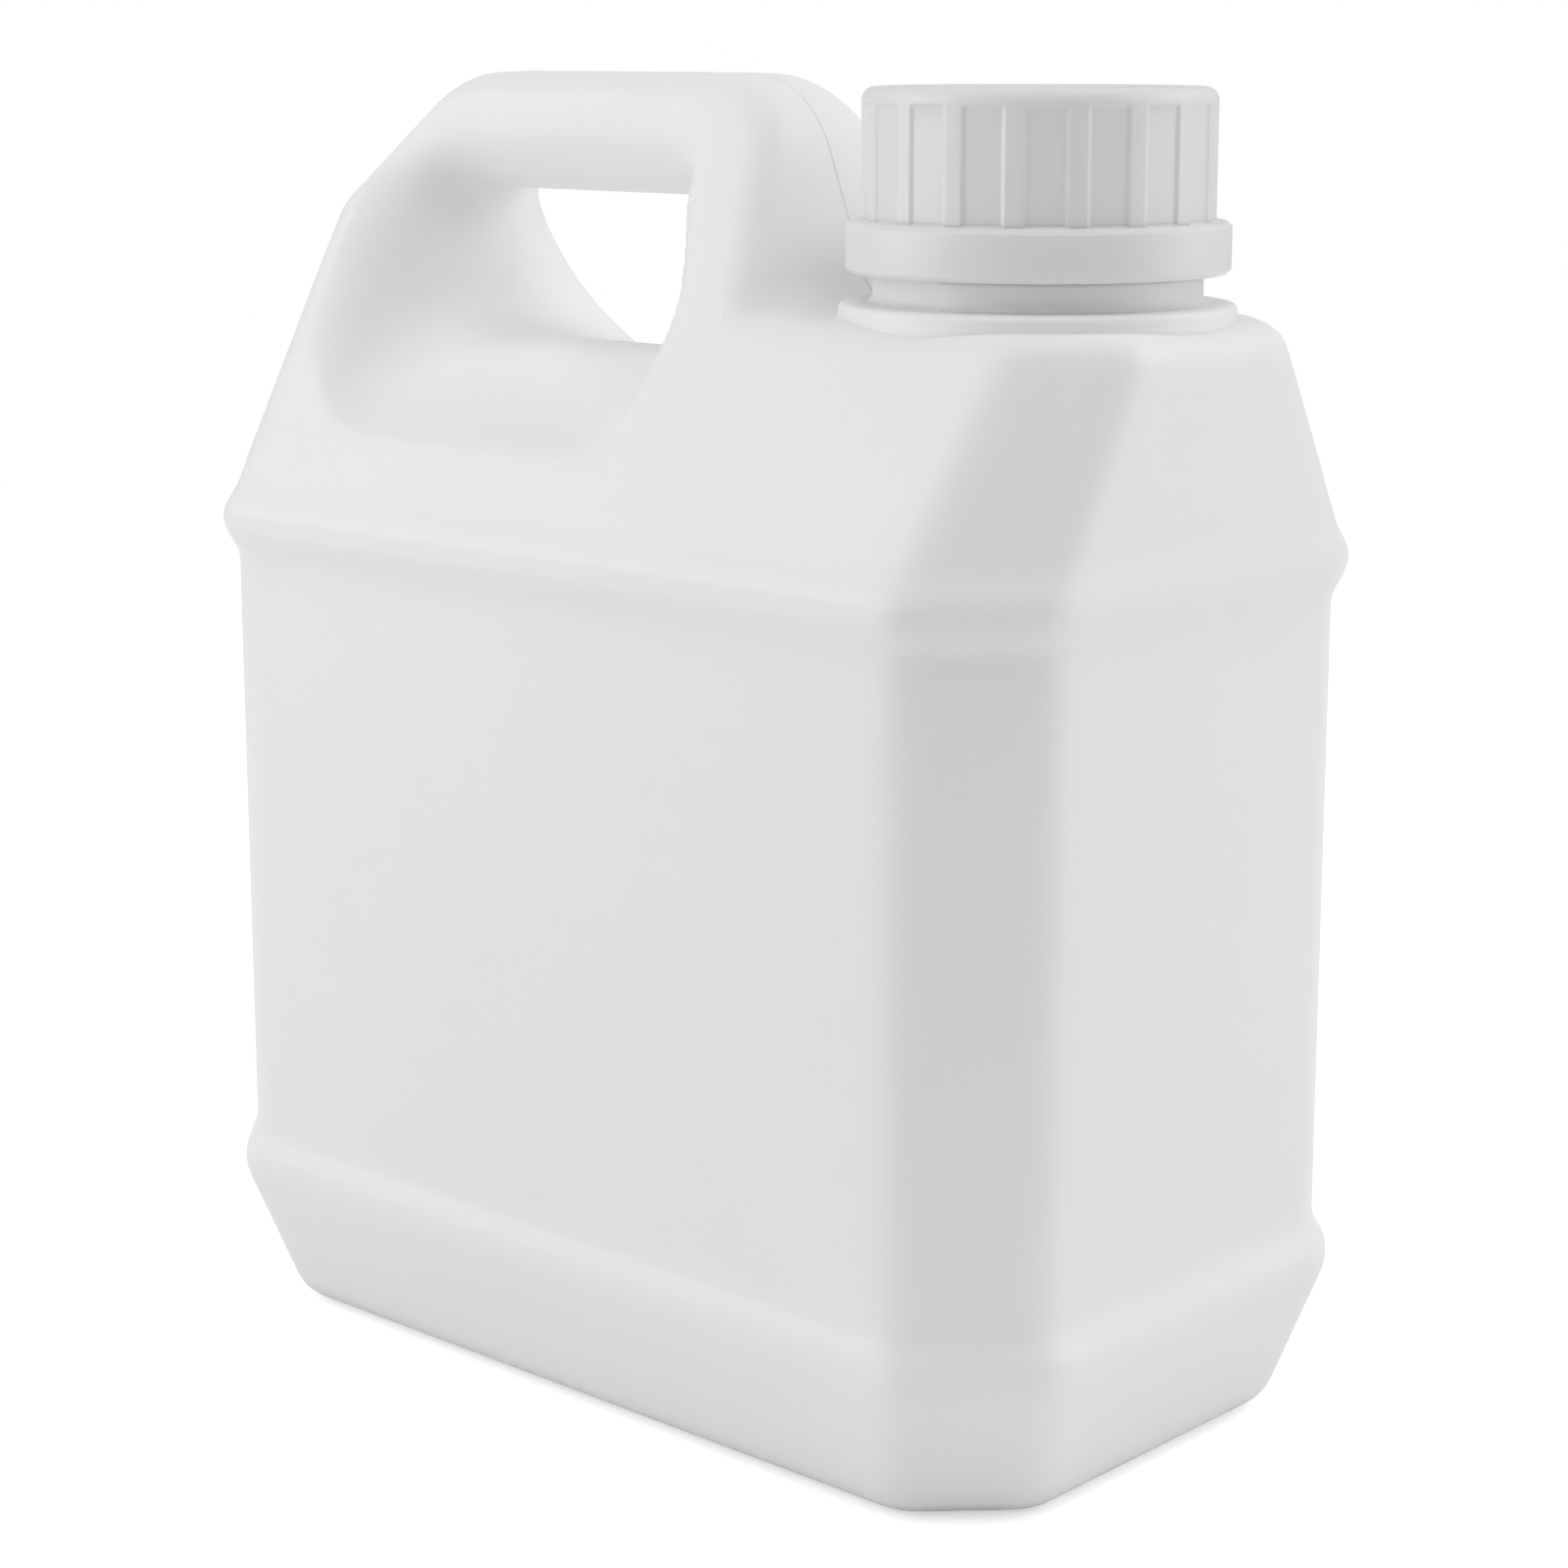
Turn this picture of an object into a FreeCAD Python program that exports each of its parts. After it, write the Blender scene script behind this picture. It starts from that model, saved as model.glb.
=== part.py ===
import FreeCAD, Part
import math
import os

import Sketcher
from FreeCAD import Placement, Rotation, Vector

# Small blow-moulded plastic jerrycan with a moulded-through handle, a screw cap and a tamper band.
#
# Millimetres, +Z up. The can stands on z = 0, its length runs along X with the neck towards +X, and the
# mould's parting plane is Y = 0. Three separate pieces: the can, the screw cap and the tamper band.

FOLDER = "parts"

# Driving sizes: alias, value in millimetres or degrees or a count, and what it is.
SIZES = [
    # The trunk: foot, label panel and shoulder's band.
    ("panel_length", 127.5, "label panel, end to end along X"),
    ("panel_width", 73.4, "label panel, side to side along Y"),
    ("panel_top", 96.0, "top of the label panel"),
    ("corner_leg", 11.4, "each leg of the flat that cuts off an upright corner"),
    ("corner_round", 7.0, "radius of the upright edges beside that flat"),
    ("foot_height", 17.5, "top of the tapering foot"),
    ("foot_land", 2.9, "upright band above the foot's taper"),
    ("foot_inset_end", 3.5, "how far the base lies inside the panel at the ends"),
    ("foot_inset_side", 4.5, "how far the base lies inside the panel at the sides"),
    ("foot_rise_end", 1.8, "how far the foot's band stands out of the panel at the ends"),
    ("foot_rise_side", 1.1, "how far the foot's band stands out of the panel at the sides"),
    ("foot_round", 5.0, "radius round the bottom edge"),
    ("ledge_height", 2.0, "height of each step between band and panel"),
    ("ledge_round", 2.4, "radius of the bands' edges"),
    ("shoulder_rise_end", 1.0, "how far the shoulder's band stands out at the ends"),
    ("shoulder_rise_side", 1.6, "how far the shoulder's band stands out at the sides"),
    ("shoulder_crown", 0.7, "share of that rise already reached at the top of the step"),
    ("shoulder_land", 2.1, "height of the shoulder's band"),
    ("base_rim", 9.0, "width of the standing rim under the can"),
    ("base_recess", 1.6, "depth of the hollow inside that rim"),
    ("base_slope", 1.8, "how far the hollow's wall leans in over its depth"),
    ("base_round", 4.5, "radius of the hollow's corners"),
    # The shoulder and the handle.
    ("shoulder_height", 26.6, "shoulder's band up to the flat that carries the neck"),
    ("platform_leg", 9.6, "corner flat's leg at that flat"),
    ("handle_rise", 25.9, "that flat up to the top of the handle"),
    ("handle_width", 11.6, "width of the handle's top before its edges are rounded"),
    ("crest_round", 4.0, "radius along the platform's and the handle's edges"),
    ("wall_lean", 20.5, "lean of the handle's front wall from upright"),
    ("wall_foot_round", 2.5, "hollow between that wall and the platform"),
    ("wall_to_collar", 1.9, "gap between that wall and the neck's collar"),
    ("nose_round", 12.8, "radius of the handle's front top corner"),
    ("rear_lean", 36.5, "lean of the handle's rear slope from upright"),
    ("rear_top_round", 12.0, "radius of the handle's rear top corner"),
    ("root_rise", 11.7, "height over which the handle's rear corners start to sharpen"),
    ("root_leg", 8.9, "corner flat's leg at that height"),
    ("root_round", 4.2, "radius beside the flat at that height"),
    ("tip_leg_share", 0.9, "corner flat's leg at the handle's top, as a share of half the width there"),
    ("tip_round", 0.35, "radius beside the flat at the handle's top"),
    # The grip hole: its mouth on each sloping side, and its waist on the parting plane.
    ("mouth_rear", 15.9, "rear end of the shoulder to the mouth"),
    ("mouth_front", 8.8, "mouth to the foot of the handle's front wall"),
    ("mouth_low", 10.0, "shoulder's band up to the mouth's lower edge"),
    ("mouth_high", 7.1, "mouth's upper edge below the handle's top"),
    ("mouth_knuckle", 15.5, "mouth's lower edge up to where it reaches furthest forward"),
    ("mouth_toe", 2.5, "how far back from there the lower edge's front corner is"),
    ("mouth_brow", 9.5, "how far back from there the upper edge's front corner is"),
    ("mouth_heel_round", 16.0, "radius of the mouth's lower rear corner"),
    ("mouth_toe_round", 7.5, "radius of the mouth's lower front corner"),
    ("mouth_knuckle_round", 18.0, "radius where the mouth reaches furthest forward"),
    ("mouth_brow_round", 8.0, "radius of the mouth's upper front corner"),
    ("mouth_nape_round", 6.0, "radius of the mouth's upper rear corner"),
    ("mouth_edge_round", 1.4, "radius round the mouth's edge"),
    ("waist_rear", 4.1, "mouth to waist at the rear"),
    ("waist_front", 2.2, "mouth to waist at the front"),
    ("waist_low", 9.9, "mouth's lower edge up to the waist's floor"),
    ("waist_high", 7.2, "mouth's upper edge down to the underside of the grip"),
    ("waist_knuckle", 7.7, "waist's floor up to where it reaches furthest forward"),
    ("waist_toe", 4.0, "how far back from there the floor's front corner is"),
    ("waist_brow", 6.0, "how far back from there the grip's front corner is"),
    ("waist_heel_round", 6.0, "radius of the waist's lower rear corner"),
    ("waist_toe_round", 4.0, "radius of the waist's lower front corner"),
    ("waist_knuckle_round", 9.0, "radius where the waist reaches furthest forward"),
    ("waist_brow_round", 5.0, "radius of the waist's upper front corner"),
    ("waist_nape_round", 4.0, "radius of the waist's upper rear corner"),
    # The neck.
    ("neck_set_back", 23.9, "front end of the shoulder to the neck's axis"),
    ("finish_radius", 16.5, "upper part of the neck, inside the cap"),
    ("neck_step", 1.35, "how far the plain foot of the neck stands out of it"),
    ("neck_foot", 7.8, "height of that plain foot above the collar"),
    ("collar_lip", 3.75, "how far the collar stands out of that foot"),
    ("collar_height", 1.7, "collar above the platform"),
    ("collar_draft", 0.2, "how far the collar tapers in over its height"),
    ("collar_edge_round", 0.5, "radius of the collar's upper edge"),
    ("neck_hollow_round", 0.4, "radius between the neck and the collar"),
    ("rim_bevel", 0.6, "bevel round the neck's rim"),
    # The screw cap.
    ("cap_clearance", 0.4, "cap's bore clear of the neck"),
    ("cap_wall", 2.25, "cap's skirt, bore to ribs"),
    ("cap_lift", 1.3, "neck's plain foot up to the lower edge of the skirt"),
    ("cap_height", 13.9, "screw cap, top to bottom"),
    ("cap_disc", 1.8, "thickness of the cap's top"),
    ("cap_top_round", 1.1, "radius round the cap's top"),
    ("cap_grips", 18, "ribs round the cap"),
    ("flute_angle", 12.5, "arc of each flat between two ribs"),
    ("flute_depth", 0.6, "flat below the ribs"),
    ("flute_stop", 2.1, "plain band above the flats"),
    ("flute_flare", 0.5, "how much each side of a flat widens outward, as a share of its depth"),
    ("cap_turn", 1.5, "turn of the cap and the band about the neck"),
    # The tamper band.
    ("band_clearance", 0.35, "band's bore clear of the neck"),
    ("band_wall", 2.65, "band, bore to outside"),
    ("band_height", 5.5, "tamper band, top to bottom"),
    ("band_slit", 0.35, "slit between the band and the cap"),
    ("band_edge", 0.5, "bevel of the band's outer edges"),
    ("bridges", 9, "bridges from the band up to the cap"),
    ("bridge_width", 1.2, "width of each bridge"),
    ("bridge_inset", 0.15, "how far a bridge's end stays inside the cap's ribs"),
]

# An edge is taken to lie on a plane within TOUCH, and to belong to a place within NEAR of it.
TOUCH = 0.01
NEAR = 2.0

doc = FreeCAD.newDocument("jerrycan")


# ---------------------------------------------------------------- sheet of sizes

def write_sheet():
    """The spreadsheet that every feature below takes its sizes from."""
    sheet = doc.addObject("Spreadsheet::Sheet", "sizes")
    for row, (alias, value, note) in enumerate(SIZES, start=1):
        sheet.set(f"A{row}", note)
        sheet.set(f"B{row}", str(value))
        sheet.setAlias(f"B{row}", alias)
    doc.recompute()
    return sheet


sizes = write_sheet()


def amount(formula):
    """Number that a formula over the sheet's aliases gives."""
    result = sizes.evalExpression(formula)
    return float(getattr(result, "Value", result))


def cell(text):
    """Formula with each alias turned into a reference to the sheet."""
    aliases = sorted((alias for alias, _, _ in SIZES), key=len, reverse=True)
    words = []
    word = ""
    for letter in text + " ":
        if letter.isalnum() or letter == "_":
            word += letter
            continue
        words.append(f"sizes.{word}" if word in aliases else word)
        words.append(letter)
        word = ""
    return "".join(words).strip()


# ---------------------------------------------------------------- sketches

def origin_part(body, role):
    """Plane or axis of the body's own origin, by its role."""
    return next(part for part in body.Origin.OriginFeatures if part.Role == role)


def add_sketch(body, name, plane, shift=("0", "0", "0"), turn=None):
    """Sketch on an origin plane, moved in the plane's own frame and turned about its X."""
    sketch = body.newObject("Sketcher::SketchObject", name)
    sketch.AttachmentSupport = [(origin_part(body, plane), "")]
    sketch.MapMode = "FlatFace"
    rotation = Rotation()
    if turn:
        side, angle = turn
        rotation = Rotation(Vector(side, 0, 0), amount(cell(angle)))
    place = Vector(*(amount(cell(part)) for part in shift))
    sketch.AttachmentOffset = Placement(place, rotation)
    for axis, part in zip("xyz", shift):
        sketch.setExpression(f"AttachmentOffset.Base.{axis}", cell(part))
    if turn:
        sketch.setExpression("AttachmentOffset.Rotation.Angle", cell(angle))
    return sketch


def bind(sketch, constraint, formula, name):
    """Dimension whose value follows a formula."""
    index = sketch.addConstraint(constraint)
    sketch.renameConstraint(index, name)
    sketch.setExpression(f"Constraints.{name}", cell(formula))


def draw_outline(sketch, corners):
    """Closed outline through sharp corners (x, y, radius), each rounded by a tangent arc."""
    points = [Vector(amount(cell(x)), amount(cell(y)), 0) for x, y, _ in corners]
    radii = [amount(cell(radius)) for _, _, radius in corners]
    count = len(corners)
    starts, ends, centres = [], [], []
    for index, corner in enumerate(points):
        back = (points[index - 1] - corner).normalize()
        ahead = (points[(index + 1) % count] - corner).normalize()
        half_angle = back.getAngle(ahead) / 2
        reach = radii[index] / math.tan(half_angle)
        starts.append(corner + back * reach)
        ends.append(corner + ahead * reach)
        middle = (back + ahead).normalize()
        centres.append(corner + middle * (radii[index] / math.sin(half_angle)))

    lines = []
    for index in range(count):
        following = (index + 1) % count
        lines.append(sketch.addGeometry(Part.LineSegment(ends[index], starts[following])))
    for index, (x, y, radius) in enumerate(corners):
        before, after = lines[index - 1], lines[index]
        mark = sketch.addGeometry(Part.Point(points[index]), True)
        bind(sketch, Sketcher.Constraint("DistanceX", -1, 1, mark, 1, points[index].x), x, f"x{index}")
        bind(sketch, Sketcher.Constraint("DistanceY", -1, 1, mark, 1, points[index].y), y, f"y{index}")
        if radii[index] == 0:
            sketch.addConstraint(Sketcher.Constraint("Coincident", before, 2, mark, 1))
            sketch.addConstraint(Sketcher.Constraint("Coincident", after, 1, mark, 1))
            continue
        centre = centres[index]
        toward = (points[index] - centre).normalize() * radii[index]
        # A sketch's arc always runs anticlockwise, so a clockwise corner's arc is drawn backwards.
        anticlockwise = (starts[index] - centre).cross(ends[index] - centre).z > 0
        first, last = (1, 2) if anticlockwise else (2, 1)
        tips = (starts[index], ends[index])[:: 1 if anticlockwise else -1]
        arc = sketch.addGeometry(Part.Arc(tips[0], centre + toward, tips[1]))
        sketch.addConstraint(Sketcher.Constraint("Tangent", before, 2, arc, first))
        sketch.addConstraint(Sketcher.Constraint("Tangent", arc, last, after, 1))
        sketch.addConstraint(Sketcher.Constraint("PointOnObject", mark, 1, before))
        sketch.addConstraint(Sketcher.Constraint("PointOnObject", mark, 1, after))
        bind(sketch, Sketcher.Constraint("Radius", arc, radii[index]), radius, f"radius{index}")
    return sketch


def octagon_corners(half_length, half_width, leg, radius):
    """Rectangle with cut-off corners, from its half sizes and the leg of each cut."""
    far_x, far_y = f"({half_length})", f"({half_width})"
    near_x, near_y = f"({half_length} - {leg})", f"({half_width} - {leg})"
    signs = [(1, -1), (1, 1), (-1, 1), (-1, -1)]
    corners = []
    for index, (sign_x, sign_y) in enumerate(signs):
        on_end = (f"{sign_x} * {far_x}", f"{sign_y} * {near_y}", radius)
        on_side = (f"{sign_x} * {near_x}", f"{sign_y} * {far_y}", radius)
        corners += [on_side, on_end] if index % 2 == 0 else [on_end, on_side]
    return corners


# ---------------------------------------------------------------- features

def add_feature(body, kind, name, **settings):
    """PartDesign feature with its settings, computed."""
    feature = body.newObject(f"PartDesign::{kind}", name)
    for key, value in settings.items():
        setattr(feature, key, value)
    doc.recompute()
    return feature


def edges_where(shape, test):
    """Names of the edges whose two ends and middle all pass the test."""
    names = []
    for number, edge in enumerate(shape.Edges, start=1):
        first, last = edge.FirstParameter, edge.LastParameter
        samples = [edge.valueAt(first + (last - first) * step / 2) for step in range(3)]
        if all(test(point) for point in samples):
            names.append(f"Edge{number}")
    return names


def round_edges(body, name, radius, test):
    """Fillet on the edges that pass the test."""
    base = body.Tip
    names = edges_where(base.Shape, test)
    fillet = body.newObject("PartDesign::Fillet", name)
    fillet.Base = (base, names)
    fillet.Radius = amount(cell(radius))
    fillet.setExpression("Radius", cell(radius))
    doc.recompute()
    return fillet


def at_level(formula):
    """Test for points that lie on a level plane."""
    level = amount(cell(formula))
    return lambda point: abs(point.z - level) < TOUCH


def add_body(label):
    """Empty body whose label names its file."""
    body = doc.addObject("PartDesign::Body", label)
    body.Label = label
    return body


# ---------------------------------------------------------------- the can

SHOULDER_BASE = "(panel_top + ledge_height + shoulder_land)"
PLATFORM = f"({SHOULDER_BASE} + shoulder_height)"
TOP = f"({PLATFORM} + handle_rise)"
SHOULDER_HALF_LENGTH = "(panel_length / 2 + shoulder_rise_end)"
SHOULDER_HALF_WIDTH = "(panel_width / 2 + shoulder_rise_side)"
SIDE_SLOPE = f"(({SHOULDER_HALF_WIDTH} - handle_width / 2) / (shoulder_height + handle_rise))"
NECK_RADIUS = "(finish_radius + neck_step)"
COLLAR_RADIUS = f"({NECK_RADIUS} + collar_lip)"
NECK_X = f"({SHOULDER_HALF_LENGTH} - neck_set_back)"
NECK_FOOT_TOP = f"({PLATFORM} + collar_height + neck_foot)"
WALL_FOOT_X = f"({NECK_X} - {COLLAR_RADIUS} - wall_to_collar)"
CAP_BOTTOM = f"({NECK_FOOT_TOP} + cap_lift)"
CAP_RADIUS = "(finish_radius + cap_clearance + cap_wall)"
RIM = f"({CAP_BOTTOM} + cap_height - cap_disc)"
# How far the shoulder's block runs past the handle's top before it is cut to outline.
BLOCK_MARGIN = 2.0
# Room beyond the can's ends in cutting sketches.
CUT_MARGIN = 20.0


def half_width_at(level):
    """Half the width between the sloping sides at a level above the shoulder."""
    return f"({SHOULDER_HALF_WIDTH} - {SIDE_SLOPE} * ({level} - {SHOULDER_BASE}))"


def grown_leg(rise):
    """Leg of the corner flat on an outline moved outward by a rise."""
    return f"(corner_leg + {2 - math.sqrt(2):.4f} * {rise})"


def add_section(body, name, level, half_length, half_width, leg, radius="corner_round"):
    """Level section of the can."""
    sketch = add_sketch(body, name, "XY_Plane", ("0", "0", level))
    return draw_outline(sketch, octagon_corners(half_length, half_width, leg, radius))


def add_trunk(body):
    """Foot, label panel and the two bands, ruled from section to section."""
    levels = [
        ("base", "0", "-foot_inset_end", "-foot_inset_side", "0"),
        ("foot_top", "foot_height", "foot_rise_end", "foot_rise_side", "foot_rise_side"),
        ("foot_band", "foot_height + foot_land", "foot_rise_end", "foot_rise_side", "foot_rise_side"),
        ("panel_low", "foot_height + foot_land + ledge_height", "0", "0", "0"),
        ("panel_high", "panel_top", "0", "0", "0"),
        ("shoulder_step", "panel_top + ledge_height", "shoulder_crown * shoulder_rise_end",
         "shoulder_crown * shoulder_rise_side", "shoulder_rise_end"),
        ("shoulder_band", SHOULDER_BASE, "shoulder_rise_end", "shoulder_rise_side", "shoulder_rise_end"),
    ]
    sections = []
    for name, level, end_rise, side_rise, leg_rise in levels:
        half_length = f"(panel_length / 2 + {end_rise})"
        half_width = f"(panel_width / 2 + {side_rise})"
        sections.append(add_section(body, name, level, half_length, half_width, grown_leg(leg_rise)))
    return add_feature(body, "AdditiveLoft", "trunk", Profile=sections[0], Sections=sections[1:], Ruled=True)


def add_shoulder_block(body):
    """Block above the shoulder: upright ends, sides that slope in to the handle's top."""
    top = f"({TOP} + {BLOCK_MARGIN})"
    levels = [
        ("shoulder_foot", SHOULDER_BASE, grown_leg("shoulder_rise_end"), "corner_round"),
        ("shoulder_top", PLATFORM, "platform_leg", "corner_round"),
        ("handle_root", f"({PLATFORM} + root_rise)", "root_leg", "root_round"),
        ("handle_top", top, f"(tip_leg_share * {half_width_at(top)})", "tip_round"),
    ]
    sections = []
    for name, level, leg, radius in levels:
        width = half_width_at(level)
        sections.append(add_section(body, name, level, SHOULDER_HALF_LENGTH, width, leg, radius))
    return add_feature(body, "AdditiveLoft", "shoulder", Profile=sections[0], Sections=sections[1:], Ruled=True)


def cut_side_outline(body):
    """Platform, handle's front wall, top and rear slope, cut through from side to side."""
    beyond = f"({SHOULDER_HALF_LENGTH} + {CUT_MARGIN})"
    sky = f"({TOP} + {CUT_MARGIN})"
    corners = [
        (beyond, PLATFORM, "0"),
        (beyond, sky, "0"),
        (f"-1 * {beyond}", sky, "0"),
        (f"-1 * {beyond}", f"{PLATFORM} - {CUT_MARGIN} / tan(rear_lean)", "0"),
        (f"handle_rise * tan(rear_lean) - {SHOULDER_HALF_LENGTH}", TOP, "rear_top_round"),
        (f"{WALL_FOOT_X} - handle_rise * tan(wall_lean)", TOP, "nose_round"),
        (WALL_FOOT_X, PLATFORM, "wall_foot_round"),
    ]
    sketch = draw_outline(add_sketch(body, "side_outline", "XZ_Plane"), corners)
    return add_feature(body, "Pocket", "handle_outline", Profile=sketch, Type="ThroughAll",
                       SideType="Symmetric")


MOUTH_BOTTOM = f"({SHOULDER_BASE} + mouth_low)"
MOUTH_TOP = f"({TOP} - mouth_high)"
MOUTH_REAR_X = f"(mouth_rear - {SHOULDER_HALF_LENGTH})"
MOUTH_FRONT_X = f"({WALL_FOOT_X} - mouth_front)"
# The mouth's outline is drawn this far outside the side so that the cut leaves no skin.
MOUTH_MARGIN = 1.0


def mouth_corners():
    """Outline of the grip hole's mouth on a sloping side, measured up that side."""
    stretch = f"cos(atan({SIDE_SLOPE}))"
    knuckle = f"mouth_knuckle / {stretch}"
    high = f"({MOUTH_TOP} - {MOUTH_BOTTOM}) / {stretch}"
    return [
        (MOUTH_REAR_X, "0", "mouth_heel_round"),
        (f"{MOUTH_FRONT_X} - mouth_toe", "0", "mouth_toe_round"),
        (MOUTH_FRONT_X, knuckle, "mouth_knuckle_round"),
        (f"{MOUTH_FRONT_X} - mouth_brow", high, "mouth_brow_round"),
        (MOUTH_REAR_X, high, "mouth_nape_round"),
    ]


def waist_corners():
    """Outline of the grip hole on the parting plane, where it is narrowest."""
    rear = f"({MOUTH_REAR_X} + waist_rear)"
    front = f"({MOUTH_FRONT_X} - waist_front)"
    floor = f"({MOUTH_BOTTOM} + waist_low)"
    grip = f"({MOUTH_TOP} - waist_high)"
    return [
        (rear, floor, "waist_heel_round"),
        (f"{front} - waist_toe", floor, "waist_toe_round"),
        (front, f"{floor} + waist_knuckle", "waist_knuckle_round"),
        (f"{front} - waist_brow", grip, "waist_brow_round"),
        (rear, grip, "waist_nape_round"),
    ]


def cut_grip_hole(body):
    """Grip hole: flared from its waist on the parting plane to a mouth on each sloping side."""
    out = f"{half_width_at(MOUTH_BOTTOM)} + {MOUTH_MARGIN}"
    tilt = f"atan({SIDE_SLOPE})"
    sections = []
    for name, side in (("mouth_near", -1), ("mouth_far", 1)):
        # The plane's own Z points to -Y, so the near side lies at a positive shift.
        shift = ("0", MOUTH_BOTTOM, f"{-side} * ({out})")
        sketch = add_sketch(body, name, "XZ_Plane", shift, turn=(side, tilt))
        sections.append(draw_outline(sketch, mouth_corners()))
    waist = draw_outline(add_sketch(body, "waist", "XZ_Plane"), waist_corners())
    return add_feature(body, "SubtractiveLoft", "grip_hole", Profile=sections[0],
                       Sections=[waist, sections[1]])


def round_outside(body):
    """Radii round the bottom edge and along the edges of both bands."""
    levels = [
        ("bottom_rounding", "foot_round", "0"),
        ("foot_top_rounding", "ledge_round", "foot_height"),
        ("foot_band_rounding", "ledge_round", "foot_height + foot_land"),
        ("panel_low_rounding", "ledge_round", "foot_height + foot_land + ledge_height"),
        ("panel_high_rounding", "ledge_round", "panel_top"),
        ("shoulder_step_rounding", "ledge_round", "panel_top + ledge_height"),
        ("shoulder_band_rounding", "ledge_round", SHOULDER_BASE),
    ]
    for name, radius, level in levels:
        round_edges(body, name, radius, at_level(level))


def round_crest(body):
    """One radius along the whole edge: round the platform, up the handle, over it and down behind."""
    on_platform = at_level(PLATFORM)
    front = amount(cell(SHOULDER_HALF_LENGTH)) - NEAR
    round_edges(body, "crest_rounding", "crest_round",
                lambda point: on_platform(point) and point.x > front)


def round_mouths(body):
    """Radius round the grip hole's mouth on both sides."""
    foot = amount(cell(SHOULDER_HALF_WIDTH))
    slope = amount(cell(SIDE_SLOPE))
    base = amount(cell(SHOULDER_BASE))
    low, high = amount(cell(MOUTH_BOTTOM)) - NEAR, amount(cell(MOUTH_TOP)) + NEAR
    rear, front = amount(cell(MOUTH_REAR_X)) - NEAR, amount(cell(MOUTH_FRONT_X)) + NEAR

    def on_mouth(point):
        on_side = abs(abs(point.y) - (foot - slope * (point.z - base))) < TOUCH
        return on_side and low < point.z < high and rear < point.x < front

    round_edges(body, "mouth_rounding", "mouth_edge_round", on_mouth)


def hollow_base(body):
    """Shallow hollow under the base, inside its standing rim."""
    half_length = "(panel_length / 2 - foot_inset_end - base_rim)"
    half_width = "(panel_width / 2 - foot_inset_side - base_rim)"
    leg = "(corner_leg - base_rim / 2)"
    mouth = add_section(body, "hollow_mouth", "0", half_length, half_width, leg, "base_round")
    roof = add_section(body, "hollow_roof", "base_recess", f"({half_length} - base_slope)",
                       f"({half_width} - base_slope)", leg, "base_round")
    return add_feature(body, "SubtractiveLoft", "base_hollow", Profile=mouth, Sections=[roof], Ruled=True)


def add_neck(body):
    """Collar, plain neck foot and the upper neck up to the rim, turned about the neck's axis."""
    sunk = f"({PLATFORM} - crest_round / 2)"
    collar_top = f"({PLATFORM} + collar_height)"
    corners = [
        ("0", sunk, "0"),
        (COLLAR_RADIUS, sunk, "0"),
        (f"{COLLAR_RADIUS} - collar_draft", collar_top, "collar_edge_round"),
        (NECK_RADIUS, collar_top, "neck_hollow_round"),
        (NECK_RADIUS, NECK_FOOT_TOP, "0"),
        ("finish_radius", f"{NECK_FOOT_TOP} + neck_step", "0"),
        ("finish_radius", f"{RIM} - rim_bevel", "0"),
        ("finish_radius - rim_bevel", RIM, "0"),
        ("0", RIM, "0"),
    ]
    sketch = draw_outline(add_sketch(body, "neck_profile", "XZ_Plane", (NECK_X, "0", "0")), corners)
    return add_feature(body, "Revolution", "neck", Profile=sketch, ReferenceAxis=(sketch, ["V_Axis"]))


def build_container():
    """The blow-moulded can, shut and seen only from outside, so solid within."""
    body = add_body("container")
    add_trunk(body)
    add_shoulder_block(body)
    cut_side_outline(body)
    round_outside(body)
    round_crest(body)
    cut_grip_hole(body)
    round_mouths(body)
    add_neck(body)
    hollow_base(body)
    return body


# ---------------------------------------------------------------- the screw cap

def place_on_neck(body, turn):
    """Stand a turned piece on the neck's axis."""
    body.Placement = Placement(Vector(amount(cell(NECK_X)), 0, 0), Rotation(Vector(0, 0, 1), amount(cell(turn))))
    body.setExpression("Placement.Base.x", cell(NECK_X))
    body.setExpression("Placement.Rotation.Angle", cell(turn))
    doc.recompute()


def repeat_round(body, feature, count):
    """Polar pattern of one feature about the body's own axis."""
    pattern = body.newObject("PartDesign::PolarPattern", f"{feature.Name}_ring")
    pattern.Originals = [feature]
    pattern.Axis = (origin_part(body, "Z_Axis"), [""])
    pattern.Angle = 360
    pattern.Occurrences = int(amount(cell(count)))
    pattern.setExpression("Occurrences", cell(count))
    body.Tip = pattern
    doc.recompute()


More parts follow.
